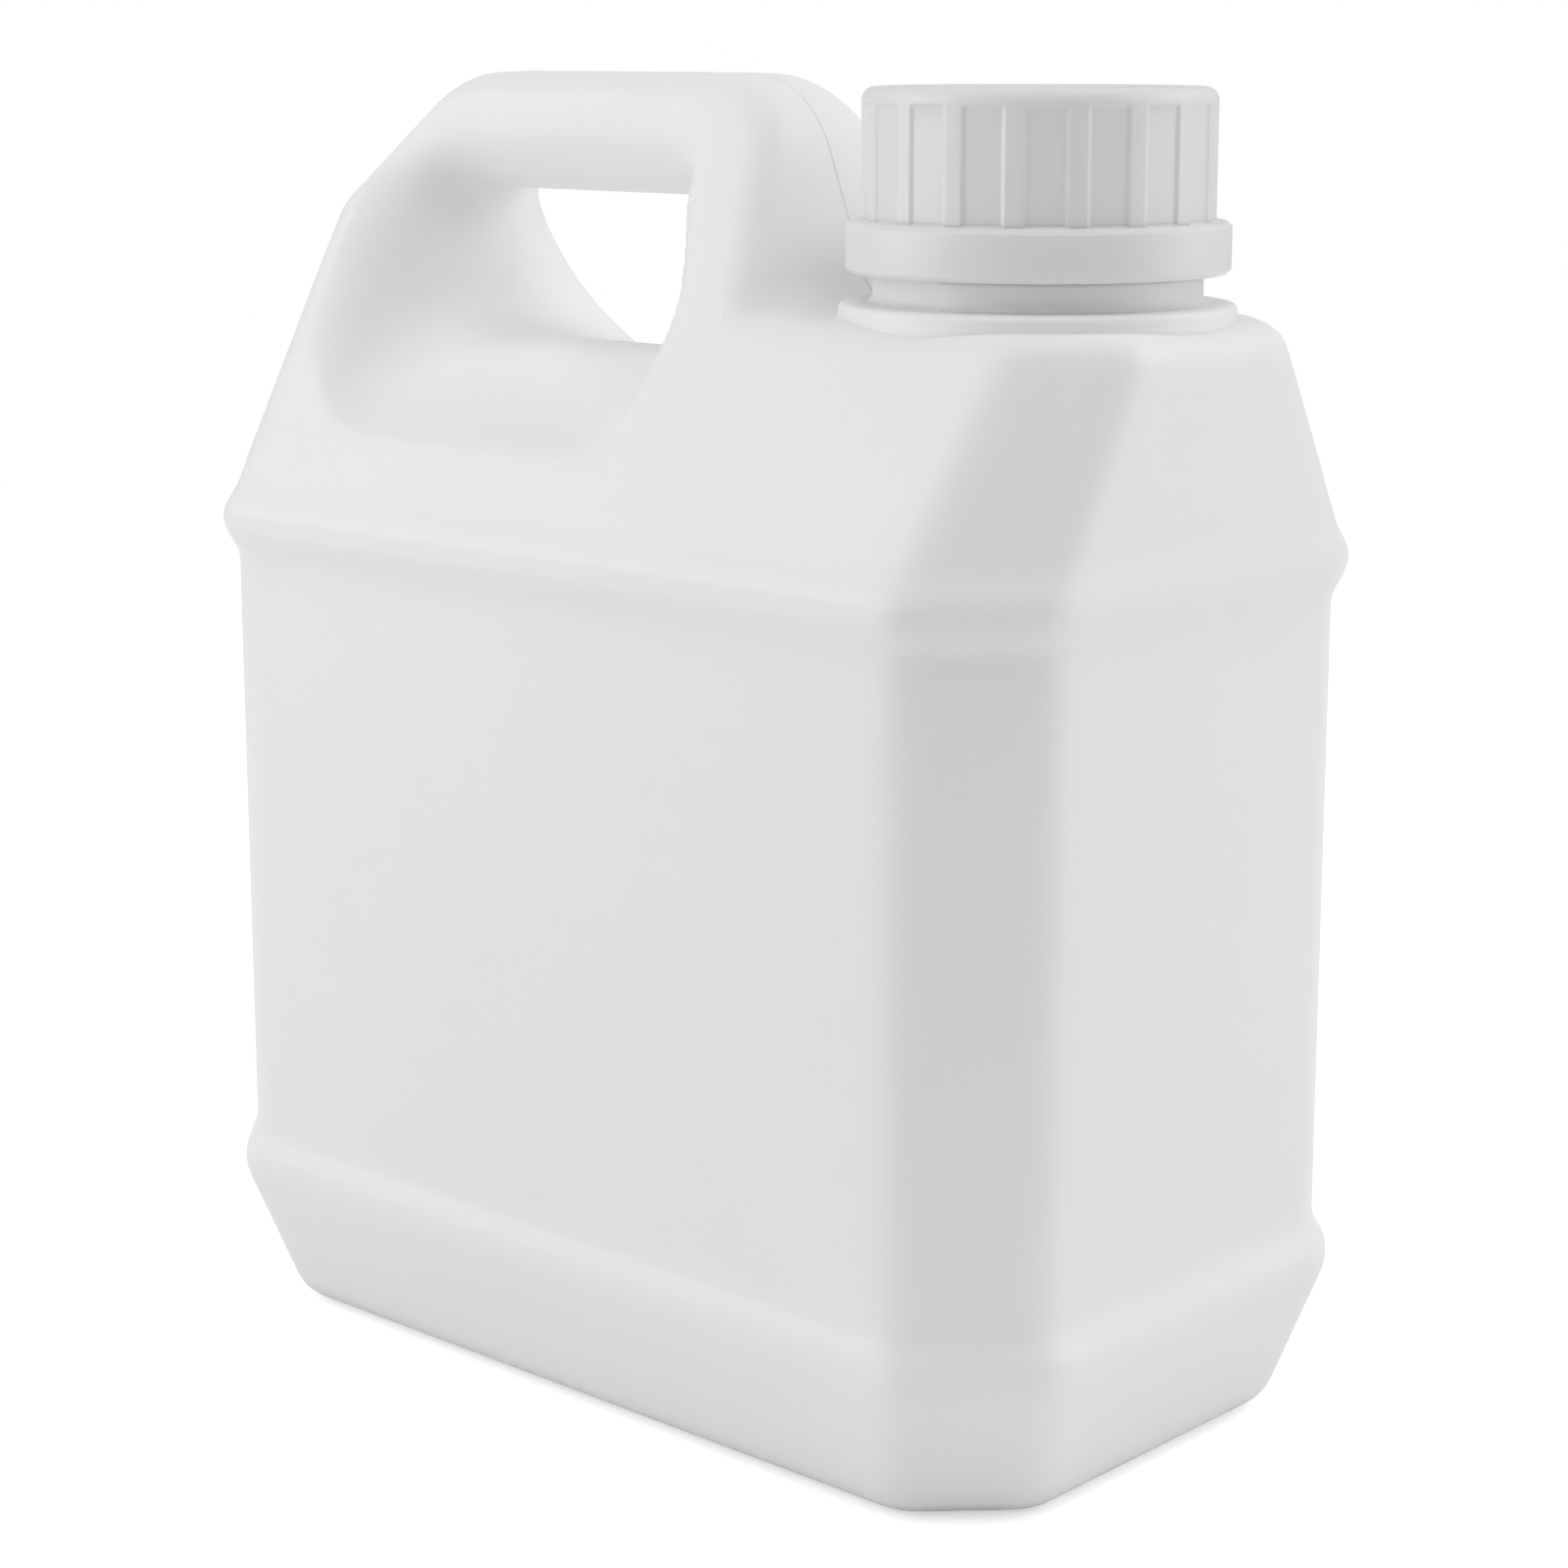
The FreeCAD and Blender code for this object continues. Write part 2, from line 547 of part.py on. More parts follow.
def build_cap():
    """Screw cap: a disc and a skirt whose outside is cut into flats between upright ribs."""
    body = add_body("screw_cap")
    bore = "(finish_radius + cap_clearance)"
    top = f"({RIM} + cap_disc)"
    corners = [
        (bore, CAP_BOTTOM, "0"),
        (CAP_RADIUS, CAP_BOTTOM, "0"),
        (CAP_RADIUS, top, "cap_top_round"),
        ("0", top, "0"),
        ("0", RIM, "0"),
        (bore, RIM, "0"),
    ]
    profile = draw_outline(add_sketch(body, "cap_profile", "XZ_Plane"), corners)
    add_feature(body, "Revolution", "cap_shell", Profile=profile, ReferenceAxis=(profile, ["V_Axis"]))

    flat = f"({CAP_RADIUS} - flute_depth)"
    clear = f"({CAP_RADIUS} + flute_depth)"
    half_flat = f"({flat} * sin(flute_angle / 2))"
    half_mouth = f"({half_flat} + flute_flare * ({clear} - {flat}))"
    corners = [
        (flat, f"-1 * {half_flat}", "0"),
        (clear, f"-1 * {half_mouth}", "0"),
        (clear, half_mouth, "0"),
        (flat, half_flat, "0"),
    ]
    outline = draw_outline(add_sketch(body, "flute_outline", "XY_Plane", ("0", "0", CAP_BOTTOM)), corners)
    flute = add_feature(body, "Pocket", "flute", Profile=outline, Type="Length", Reversed=True)
    flute.setExpression("Length", cell("cap_height - flute_stop"))
    repeat_round(body, flute, "cap_grips")
    place_on_neck(body, "cap_turn + 180 / cap_grips")
    return body


# ---------------------------------------------------------------- the tamper band

def build_band():
    """Tamper band: a loose ring under the cap, joined to it by thin bridges that tear on opening."""
    body = add_body("tamper_band")
    bore = f"({NECK_RADIUS} + band_clearance)"
    outside = f"({bore} + band_wall)"
    top = f"({CAP_BOTTOM} - band_slit)"
    bottom = f"({top} - band_height)"
    corners = [
        (bore, bottom, "0"),
        (f"{outside} - band_edge", bottom, "0"),
        (outside, f"{bottom} + band_edge", "0"),
        (outside, f"{top} - band_edge", "0"),
        (f"{outside} - band_edge", top, "0"),
        (bore, top, "0"),
    ]
    profile = draw_outline(add_sketch(body, "band_profile", "XZ_Plane"), corners)
    add_feature(body, "Revolution", "band_ring", Profile=profile, ReferenceAxis=(profile, ["V_Axis"]))

    inner, outer = f"({bore} + bridge_inset)", f"({CAP_RADIUS} - bridge_inset)"
    corners = [
        (inner, "-1 * bridge_width / 2", "0"),
        (outer, "-1 * bridge_width / 2", "0"),
        (outer, "bridge_width / 2", "0"),
        (inner, "bridge_width / 2", "0"),
    ]
    outline = draw_outline(add_sketch(body, "bridge_outline", "XY_Plane", ("0", "0", top)), corners)
    bridge = add_feature(body, "Pad", "bridge", Profile=outline, Type="Length")
    bridge.setExpression("Length", cell("band_slit"))
    repeat_round(body, bridge, "bridges")
    place_on_neck(body, "cap_turn")
    return body


# ---------------------------------------------------------------- check and write

def check(bodies):
    """Stop if any object failed or any piece is empty, broken or in more than one lump."""
    for item in doc.Objects:
        if "Invalid" in item.State or "Error" in item.State:
            raise RuntimeError(f"{item.Name} failed: {item.State}")
    for body in bodies:
        shape = body.Shape
        if shape.isNull() or not shape.isValid() or len(shape.Solids) != 1:
            raise RuntimeError(f"{body.Label} is not one valid solid")


def write(bodies):
    """One STEP file for each piece, named by its label."""
    os.makedirs(FOLDER, exist_ok=True)
    for body in bodies:
        body.Shape.exportStep(f"{FOLDER}/{body.Label}.step")
        print(body.Label, round(body.Shape.Volume), "cubic mm")


pieces = [build_container(), build_cap(), build_band()]
doc.recompute()
check(pieces)
write(pieces)
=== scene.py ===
import math

import bmesh
import bpy
import numpy as np
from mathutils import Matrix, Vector
from mathutils.bvhtree import BVHTree


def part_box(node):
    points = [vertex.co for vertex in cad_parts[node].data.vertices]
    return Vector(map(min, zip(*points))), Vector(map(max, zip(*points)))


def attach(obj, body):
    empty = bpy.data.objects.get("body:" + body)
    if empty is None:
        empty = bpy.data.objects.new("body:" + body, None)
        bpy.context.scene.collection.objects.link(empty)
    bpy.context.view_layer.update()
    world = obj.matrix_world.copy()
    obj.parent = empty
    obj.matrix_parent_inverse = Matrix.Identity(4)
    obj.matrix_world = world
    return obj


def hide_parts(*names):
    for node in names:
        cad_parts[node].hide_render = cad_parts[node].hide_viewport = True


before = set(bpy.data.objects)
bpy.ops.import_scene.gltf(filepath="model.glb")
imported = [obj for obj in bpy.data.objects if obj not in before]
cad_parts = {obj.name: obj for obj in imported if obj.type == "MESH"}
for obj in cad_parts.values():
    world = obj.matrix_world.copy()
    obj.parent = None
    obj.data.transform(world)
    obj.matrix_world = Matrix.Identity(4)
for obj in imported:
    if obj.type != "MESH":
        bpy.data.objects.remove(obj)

# ------------------------------------------------------------ Setting up
# The can stands at the middle of the floor with its neck towards +X and its handle along X.
scene = bpy.context.scene
scene.view_settings.view_transform = "Standard"
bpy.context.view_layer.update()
MM = 0.001

# ------------------------------------------------------------ Camera
# A long lens stands off the corner between the broad side and the neck end, a little above the cap,
# and looks slightly down. The frame is shifted so that the can sits low in the middle of the square.
camera_data = bpy.data.cameras.new("camera")
camera = bpy.data.objects.new("camera", camera_data)
scene.collection.objects.link(camera)
camera_data.sensor_width = 36.0
camera_data.lens = 78.31
camera_data.shift_y = -0.0402
LOOK_DOWN, LOOK_ROUND = 11.30, 42.50
camera_data.clip_start = 0.01
camera.location = (0.2719, -0.2928, 0.1563)
camera.rotation_euler = (math.radians(90.0 - LOOK_DOWN), 0.0, math.radians(LOOK_ROUND))
scene.camera = camera

# ------------------------------------------------------------ Table and backdrop
# The can stands on a seamless white table in a bright tent. The table is matt white card, and it
# glows just enough to the eye to meet the white backdrop with no horizon, so the shadow stays.
FLOOR_HALF = 0.75
CARD_WHITE, CARD_GLOW = 0.92, 0.48
TENT_LIGHT = 0.40
floor_mesh = bpy.data.meshes.new("table_top")
floor_mesh.from_pydata(
    [(-FLOOR_HALF, -FLOOR_HALF, 0), (FLOOR_HALF, -FLOOR_HALF, 0), (FLOOR_HALF, FLOOR_HALF, 0),
     (-FLOOR_HALF, FLOOR_HALF, 0)], [], [(0, 1, 2, 3)])
floor = bpy.data.objects.new("table_top", floor_mesh)
scene.collection.objects.link(floor)

card = bpy.data.materials.new("white_card")
card.use_nodes = True
nodes, links = card.node_tree.nodes, card.node_tree.links
nodes.clear()
card_out = nodes.new("ShaderNodeOutputMaterial")
card_face = nodes.new("ShaderNodeBsdfDiffuse")
card_face.inputs["Color"].default_value = (CARD_WHITE, CARD_WHITE, CARD_WHITE, 1)
card_glow = nodes.new("ShaderNodeEmission")
card_glow.inputs["Strength"].default_value = CARD_GLOW
card_both = nodes.new("ShaderNodeAddShader")
card_seen = nodes.new("ShaderNodeLightPath")
card_switch = nodes.new("ShaderNodeMixShader")
links.new(card_face.outputs[0], card_both.inputs[0])
links.new(card_glow.outputs[0], card_both.inputs[1])
links.new(card_seen.outputs["Is Camera Ray"], card_switch.inputs[0])
links.new(card_face.outputs[0], card_switch.inputs[1])
links.new(card_both.outputs[0], card_switch.inputs[2])
links.new(card_switch.outputs[0], card_out.inputs["Surface"])
floor_mesh.materials.append(card)

# The eye sees the tent as plain white, straight on or through something clear. Its light is softer.
tent = bpy.data.worlds.new("tent")
scene.world = tent
tent.use_nodes = True
nodes, links = tent.node_tree.nodes, tent.node_tree.links
tent_cloth = nodes["Background"]
tent_cloth.inputs["Color"].default_value = (1, 1, 1, 1)
tent_cloth.inputs["Strength"].default_value = TENT_LIGHT
tent_seen = nodes.new("ShaderNodeBackground")
tent_seen.inputs["Color"].default_value = (1, 1, 1, 1)
tent_seen.inputs["Strength"].default_value = 1.0
tent_path = nodes.new("ShaderNodeLightPath")
tent_direct = nodes.new("ShaderNodeMath")
tent_direct.operation = "MAXIMUM"
tent_switch = nodes.new("ShaderNodeMixShader")
links.new(tent_path.outputs["Is Camera Ray"], tent_direct.inputs[0])
links.new(tent_path.outputs["Is Transmission Ray"], tent_direct.inputs[1])
links.new(tent_direct.outputs[0], tent_switch.inputs[0])
links.new(tent_cloth.outputs[0], tent_switch.inputs[1])
links.new(tent_seen.outputs[0], tent_switch.inputs[2])
links.new(tent_switch.outputs[0], nodes["World Output"].inputs["Surface"])


# ------------------------------------------------------------ Lamps
# Wide soft boxes stand on both sides of the can and behind it, one hangs above, and one is held high
# behind the neck's end, to reach into the grip and behind the cap. The side that faces the eye has
# none, so it is the darkest, and the turned-away edges are the brightest.
LAMP_AIM = Vector((0, 0, 0.08))


def soft_box(name, azimuth, height, distance, size, power, mirrored=True):
    """Soft box that looks at the can from an azimuth: 0 is from -Y, 90 from +X. A box behind a
    cross-polarised sheet isn't mirrored in the plastic."""
    lamp = bpy.data.lights.new(name, "AREA")
    lamp.shape = "RECTANGLE"
    lamp.size, lamp.size_y = size
    lamp.energy = power
    stand = bpy.data.objects.new(name, lamp)
    scene.collection.objects.link(stand)
    turn = math.radians(azimuth)
    stand.location = (distance * math.sin(turn), -distance * math.cos(turn), height)
    aim = LAMP_AIM - stand.location
    stand.rotation_euler = aim.to_track_quat("-Z", "Y").to_euler()
    stand.visible_camera = False
    stand.visible_glossy = mirrored


soft_box("lamp_left", azimuth=-42.0, height=0.30, distance=0.80, size=(0.7, 0.9), power=3.02)
soft_box("lamp_right", azimuth=127.0, height=0.30, distance=0.80, size=(0.7, 0.9), power=1.99)
soft_box("lamp_back", azimuth=222.5, height=0.35, distance=0.90, size=(1.2, 0.9), power=1.8,
         mirrored=False)
soft_box("lamp_high", azimuth=165.0, height=0.60, distance=0.70, size=(0.5, 0.5), power=1.6,
         mirrored=False)
soft_box("lamp_top", azimuth=42.5, height=0.90, distance=0.15, size=(0.9, 0.5), power=2.38,
         mirrored=False)

# ------------------------------------------------------------ Can
# Blow-moulded from white polyethylene in two mould halves that meet on the plane of the handle.
# The walls are about a millimetre thick, so every edge is soft and the broad panels swell a little.
cad_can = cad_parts["container"]
can_low, can_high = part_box("container")
cap_low, cap_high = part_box("screw_cap")
neck_x = (cap_low.x + cap_high.x) / 2
HANDLE_RISE = 25.9 * MM
platform_z = can_high.z - HANDLE_RISE
COLLAR_R = 21.6 * MM
VOXEL = 0.95 * MM


def take_mesh(piece):
    """Apply a piece's modifiers to its mesh."""
    graph = bpy.context.evaluated_depsgraph_get()
    mesh = bpy.data.meshes.new_from_object(piece.evaluated_get(graph))
    piece.modifiers.clear()
    piece.data = mesh


def points_of(mesh):
    """Vertices of a mesh as rows of x, y, z."""
    points = np.empty(len(mesh.vertices) * 3)
    mesh.vertices.foreach_get("co", points)
    return points.reshape(-1, 3)


def move_points(mesh, points):
    """Put a mesh's vertices at these places."""
    mesh.vertices.foreach_set("co", points.astype(np.float32).ravel())
    mesh.update()


def relax(mesh, weight, rounds):
    """Draw each vertex towards the middle of its neighbours, by its own weight."""
    points = points_of(mesh)
    ends = np.empty(len(mesh.edges) * 2, dtype=np.int64)
    mesh.edges.foreach_get("vertices", ends)
    first, second = ends[0::2], ends[1::2]
    count = len(points)
    neighbours = np.bincount(first, minlength=count) + np.bincount(second, minlength=count)
    for _ in range(rounds):
        middle = np.empty_like(points)
        for axis in range(3):
            line = points[:, axis]
            total = np.bincount(first, line[second], count) + np.bincount(second, line[first], count)
            middle[:, axis] = total / neighbours
        points += (middle - points) * weight[:, None]
    move_points(mesh, points)


can = bpy.data.objects.new("can_body", cad_can.data.copy())
scene.collection.objects.link(can)

# The neck is turned as a crisp piece of its own below, so here it is cut off at the flat.
CUT_R, CUT_H, CUT_SIDES = COLLAR_R + 0.2 * MM, 40 * MM, 96
CUT_LIFT = 0.02 * MM
neck_cutter_mesh = bpy.data.meshes.new("neck_cutter")
cutter = bmesh.new()
bmesh.ops.create_cone(cutter, cap_ends=True, segments=CUT_SIDES, radius1=CUT_R, radius2=CUT_R,
                      depth=CUT_H)
bmesh.ops.translate(cutter, verts=cutter.verts, vec=(neck_x, 0, platform_z + CUT_H / 2 + CUT_LIFT))
cutter.to_mesh(neck_cutter_mesh)
cutter.free()
neck_cutter = bpy.data.objects.new("neck_cutter", neck_cutter_mesh)
scene.collection.objects.link(neck_cutter)
cut = can.modifiers.new("cut", "BOOLEAN")
cut.operation = "DIFFERENCE"
cut.solver = "EXACT"
cut.object = neck_cutter
even = can.modifiers.new("even", "REMESH")
even.mode = "VOXEL"
even.voxel_size = VOXEL
even.use_smooth_shade = True
take_mesh(can)
bpy.data.objects.remove(neck_cutter)

# The even mesh is laid back on the true surface, except where the collar was cut off, and is then
# softened all over.
SOFTENING, SOFTENING_ROUNDS = 0.5, 3
UNDER_COLLAR_R, UNDER_COLLAR_DEPTH = COLLAR_R + 0.8 * MM, 2.0 * MM
everywhere = np.full(len(can.data.vertices), SOFTENING)
relax(can.data, everywhere, SOFTENING_ROUNDS)
surface = BVHTree.FromObject(cad_can, bpy.context.evaluated_depsgraph_get())
points = points_of(can.data)
from_neck = np.hypot(points[:, 0] - neck_x, points[:, 1])
under_collar = (from_neck < UNDER_COLLAR_R) & (points[:, 2] > platform_z - UNDER_COLLAR_DEPTH)
for index in np.flatnonzero(~under_collar):
    points[index] = surface.find_nearest(Vector(points[index]))[0]
move_points(can.data, points)
relax(can.data, everywhere, SOFTENING_ROUNDS)

# The grip hole was blown round a core, so its mouth opens softly along the top and the rear, and is
# crisp along the floor and the front. The mouth lies on both sloping sides. Its rounded corners are
# the heel, toe, knuckle, brow and nape: place along X, height, and radius measured on the slope.
SHOULDER_Z, SHOULDER_HALF_WIDTH = 100.1 * MM, 38.3 * MM
SIDE_LEAN = 32.5 / 52.5
WALL_FOOT_X = 17.35 * MM
MOUTH_REAR_X, MOUTH_FRONT_X = -48.8 * MM, WALL_FOOT_X - 8.8 * MM
MOUTH_LOW, MOUTH_HIGH = SHOULDER_Z + 10.0 * MM, can_high.z - 7.1 * MM
MOUTH_CORNERS = [(MOUTH_REAR_X, MOUTH_LOW, 21.5 * MM),
                 (MOUTH_FRONT_X - 2.5 * MM, MOUTH_LOW, 7.5 * MM),
                 (MOUTH_FRONT_X, MOUTH_LOW + 15.5 * MM, 18 * MM),
                 (MOUTH_FRONT_X - 9.5 * MM, MOUTH_HIGH, 9 * MM),
                 (MOUTH_REAR_X, MOUTH_HIGH, 10 * MM)]


def mouth_outline(corners, chords):
    """Outline of the mouth as rows of x and z, each corner an arc of a few chords on the slope."""
    slope = math.hypot(1, SIDE_LEAN)
    places = [np.array([x, z * slope]) for x, z, _ in corners]
    outline = []
    for index, place in enumerate(places):
        back = places[index - 1] - place
        ahead = places[(index + 1) % len(places)] - place
        back, ahead = back / np.linalg.norm(back), ahead / np.linalg.norm(ahead)
        radius, half = corners[index][2], math.acos(back @ ahead) / 2
        centre = place + (back + ahead) / np.linalg.norm(back + ahead) * radius / math.sin(half)
        start = place + back * radius / math.tan(half) - centre
        end = place + ahead * radius / math.tan(half) - centre
        swing = math.pi - 2 * half
        for share in np.linspace(0, 1, chords + 1):
            spoke = start * math.sin((1 - share) * swing) + end * math.sin(share * swing)
            outline.append((centre + spoke / math.sin(swing)) / (1, slope))
    return np.array(outline)


def from_mouth(points, outline):
    """How far each point is from the nearer mouth's edge, and whether it lies within the outline."""
    flat = points[:, [0, 2]]
    nearest = np.full(len(points), np.inf)
    within = np.zeros(len(points), dtype=bool)
    for start, end in zip(outline, np.roll(outline, -1, axis=0)):
        along = end - start
        share = np.clip(((flat - start) @ along) / (along @ along), 0, 1)
        gap = flat - start - share[:, None] * along
        nearest = np.minimum(nearest, np.hypot(gap[:, 0], gap[:, 1]))
        crosses = (start[1] > flat[:, 1]) != (end[1] > flat[:, 1])
        cross_x = start[0] + along[0] * (flat[:, 1] - start[1]) / (along[1] if along[1] else 1.0)
        within ^= crosses & (flat[:, 0] < cross_x)
    side_y = SHOULDER_HALF_WIDTH - (points[:, 2] - SHOULDER_Z) * SIDE_LEAN
    return np.hypot(nearest, side_y - np.abs(points[:, 1])), within


FLARE_IN, FLARE_OUT, FLARE_ROUNDS = 9.0 * MM, 4.5 * MM, 90
FLARE_FROM_Z, FLARE_BLEND_Z = 117 * MM, 12 * MM
FLARE_UP_TO_X, FLARE_BLEND_X = 2 * MM, 8 * MM
FULL_PULL = 0.9
points = points_of(can.data)
to_edge, inside_mouth = from_mouth(points, mouth_outline(MOUTH_CORNERS, chords=5))
reach = np.where(inside_mouth, FLARE_IN, FLARE_OUT)
flare = np.clip(1 - (to_edge / reach) ** 2, 0, 1)
flare *= np.clip((points[:, 2] - FLARE_FROM_Z) / FLARE_BLEND_Z, 0, 1)
flare *= np.clip((FLARE_UP_TO_X - points[:, 0]) / FLARE_BLEND_X, 0, 1)
relax(can.data, FULL_PULL * flare, FLARE_ROUNDS)

# The handle's front wall runs out on the flat in a wide hollow, which ends before the sloping sides.
HOLLOW_REACH, HOLLOW_ROUNDS = 4.5 * MM, 18
HOLLOW_HALF_WIDTH, HOLLOW_BLEND = 19 * MM, 5 * MM
points = points_of(can.data)
from_foot = np.hypot(points[:, 0] - WALL_FOOT_X, points[:, 2] - platform_z)
hollow = np.clip(1 - from_foot / HOLLOW_REACH, 0, 1)
hollow *= np.clip((HOLLOW_HALF_WIDTH - np.abs(points[:, 1])) / HOLLOW_BLEND, 0, 1)
relax(can.data, np.clip(2 * hollow, 0, FULL_PULL), HOLLOW_ROUNDS)

# The front edge of each mouth stands a little further back than the hole's draft alone would put it,
# and the core half on the far side was drawn out at a slant, so the mouth reaches further back there.
FRONT_BACK, FRONT_REACH = 1.2 * MM, 7 * MM
FRONT_FROM_X, FRONT_BLEND = -12 * MM, 10 * MM
SLANT_HEIGHTS = np.array([112, 118, 124, 131, 137, 144]) * MM
SLANT_DRAWS = np.array([0, 1.2, 2.2, 2.8, 2.4, 0]) * MM
SLANT_FROM_Y, SLANT_UP_TO_X, SLANT_BLEND = 4 * MM, -34 * MM, 9 * MM
SLANT_REACH, SLANT_ROUNDS = 11 * MM, 25
points = points_of(can.data)
front_pull = np.clip(1 - to_edge / FRONT_REACH, 0, 1)
front_pull *= np.clip((points[:, 0] - FRONT_FROM_X) / FRONT_BLEND, 0, 1)
points[:, 0] -= FRONT_BACK * front_pull
slant = np.interp(points[:, 2], SLANT_HEIGHTS, SLANT_DRAWS)
slant *= np.clip((points[:, 1] - SLANT_FROM_Y) / SLANT_BLEND, 0, 1)
slant *= np.clip((SLANT_UP_TO_X - points[:, 0]) / SLANT_BLEND, 0, 1)
slant *= np.clip(1 - np.where(inside_mouth, 0, to_edge) / SLANT_REACH, 0, 1)
points[:, 0] -= slant
move_points(can.data, points)
relax(can.data, np.clip(slant / MM, 0, FULL_PULL), SLANT_ROUNDS)

# The shoulder's band is full and round, and the grip's top sinks a hair between its edges.
SHOULDER_BAND_Z, BAND_HALF_HEIGHT, BAND_FULLNESS = 99.3 * MM, 4.2 * MM, 0.42 * MM
END_FACE_X, BROAD_FACE_Y = 50 * MM, 22 * MM
GRIP_SINK, GRIP_DEPTH = 0.12 * MM, 2.5 * MM
points = points_of(can.data)
band_bump = np.clip(1 - ((points[:, 2] - SHOULDER_BAND_Z) / BAND_HALF_HEIGHT) ** 2, 0, 1)
outward = np.stack([np.sign(points[:, 0]) * (np.abs(points[:, 0]) > END_FACE_X),
                    np.sign(points[:, 1]) * (np.abs(points[:, 1]) > BROAD_FACE_Y)], axis=1)
points[:, :2] += outward * (BAND_FULLNESS * band_bump)[:, None]
points[:, 0] = np.clip(points[:, 0], can_low.x, can_high.x)
points[:, 1] = np.clip(points[:, 1], can_low.y, can_high.y)
points[:, 2] -= GRIP_SINK * np.clip((points[:, 2] - can_high.z + GRIP_DEPTH) / GRIP_DEPTH, 0, 1)
move_points(can.data, points)

# The broad panels and the end panels swell by a fraction of a millimetre.
PANEL_LOW, PANEL_HIGH = 22.4 * MM, 96.0 * MM
BROAD_SWELL, END_SWELL = 0.45 * MM, 0.25 * MM
PANEL_HALF_LENGTH, PANEL_HALF_WIDTH = 52 * MM, 25 * MM
BROAD_FROM_Y, END_FROM_X = 35 * MM, 62 * MM
points = points_of(can.data)
middle_z, half_z = (PANEL_LOW + PANEL_HIGH) / 2, (PANEL_HIGH - PANEL_LOW) / 2
up = np.clip(1 - ((points[:, 2] - middle_z) / half_z) ** 2, 0, 1)
broad_face = np.clip(1 - (points[:, 0] / PANEL_HALF_LENGTH) ** 2, 0, 1)
broad_face *= np.abs(points[:, 1]) > BROAD_FROM_Y
end_face = np.clip(1 - (points[:, 1] / PANEL_HALF_WIDTH) ** 2, 0, 1)
end_face *= np.abs(points[:, 0]) > END_FROM_X
points[:, 1] += np.sign(points[:, 1]) * BROAD_SWELL * up * broad_face
points[:, 0] += np.sign(points[:, 0]) * END_SWELL * up * end_face
move_points(can.data, points)

# The resin is faintly clouded, a little uneven in its gloss, and holds a grey speck here and there.
CLOUDING, GLOSS_SPREAD, GLOSS_FINENESS = 0.985, 0.05, 6
SPECK_SIZE, SPECK_SHARE = 0.016, 0.12
SPECK_GREY = (0.30, 0.30, 0.29, 1)


def moulded_white(name, colour, roughness, scatter, grain, mottle):
    """White moulded plastic: faint clouding, a fine skin and a few specks in the resin."""
    material = bpy.data.materials.new(name)
    material.use_nodes = True
    nodes, links = material.node_tree.nodes, material.node_tree.links
    shader = nodes["Principled BSDF"]
    shader.inputs["IOR"].default_value = 1.54
    shader.inputs["Subsurface Weight"].default_value = scatter
    shader.inputs["Subsurface Radius"].default_value = (1.0, 0.95, 0.9)
    shader.inputs["Subsurface Scale"].default_value = 1.5 * MM
    place = nodes.new("ShaderNodeTexCoord")

    cloud = nodes.new("ShaderNodeTexNoise")
    cloud.inputs["Scale"].default_value = mottle
    cloud.inputs["Detail"].default_value = 3
    tone = nodes.new("ShaderNodeValToRGB")
    tone.color_ramp.elements[0].position = 0.3
    tone.color_ramp.elements[0].color = (*(part * CLOUDING for part in colour), 1)
    tone.color_ramp.elements[1].position = 0.7
    tone.color_ramp.elements[1].color = (*colour, 1)
    links.new(place.outputs["Object"], cloud.inputs["Vector"])
    links.new(cloud.outputs["Fac"], tone.inputs["Fac"])

    speck = nodes.new("ShaderNodeTexVoronoi")
    speck.inputs["Scale"].default_value = 70
    spot = nodes.new("ShaderNodeMath")
    spot.operation = "LESS_THAN"
    spot.inputs[1].default_value = SPECK_SIZE
    rare = nodes.new("ShaderNodeSeparateColor")
    seldom = nodes.new("ShaderNodeMath")
    seldom.operation = "LESS_THAN"
    seldom.inputs[1].default_value = SPECK_SHARE
    both = nodes.new("ShaderNodeMath")
    both.operation = "MULTIPLY"
    speckled = nodes.new("ShaderNodeMix")
    speckled.data_type = "RGBA"
    speckled.inputs["B"].default_value = SPECK_GREY
    links.new(place.outputs["Object"], speck.inputs["Vector"])
    links.new(speck.outputs["Distance"], spot.inputs[0])
    links.new(speck.outputs["Color"], rare.inputs[0])
    links.new(rare.outputs["Red"], seldom.inputs[0])
    links.new(spot.outputs[0], both.inputs[0])
    links.new(seldom.outputs[0], both.inputs[1])
    links.new(both.outputs[0], speckled.inputs["Factor"])
    links.new(tone.outputs["Color"], speckled.inputs["A"])
    links.new(speckled.outputs["Result"], shader.inputs["Base Color"])

    sheen = nodes.new("ShaderNodeTexNoise")
    sheen.inputs["Scale"].default_value = mottle * GLOSS_FINENESS
    sheen.inputs["Detail"].default_value = 4
    rough = nodes.new("ShaderNodeMapRange")
    rough.inputs["To Min"].default_value = roughness - GLOSS_SPREAD
    rough.inputs["To Max"].default_value = roughness + GLOSS_SPREAD
    links.new(place.outputs["Object"], sheen.inputs["Vector"])
    links.new(sheen.outputs["Fac"], rough.inputs["Value"])
    links.new(rough.outputs["Result"], shader.inputs["Roughness"])

    skin = nodes.new("ShaderNodeTexNoise")
    skin.inputs["Scale"].default_value = 900
    skin.inputs["Detail"].default_value = 3
    relief = nodes.new("ShaderNodeBump")
    relief.inputs["Strength"].default_value = grain
    relief.inputs["Distance"].default_value = 0.05 * MM
    links.new(place.outputs["Object"], skin.inputs["Vector"])
    links.new(skin.outputs["Fac"], relief.inputs["Height"])
    links.new(relief.outputs["Normal"], shader.inputs["Normal"])
    return material


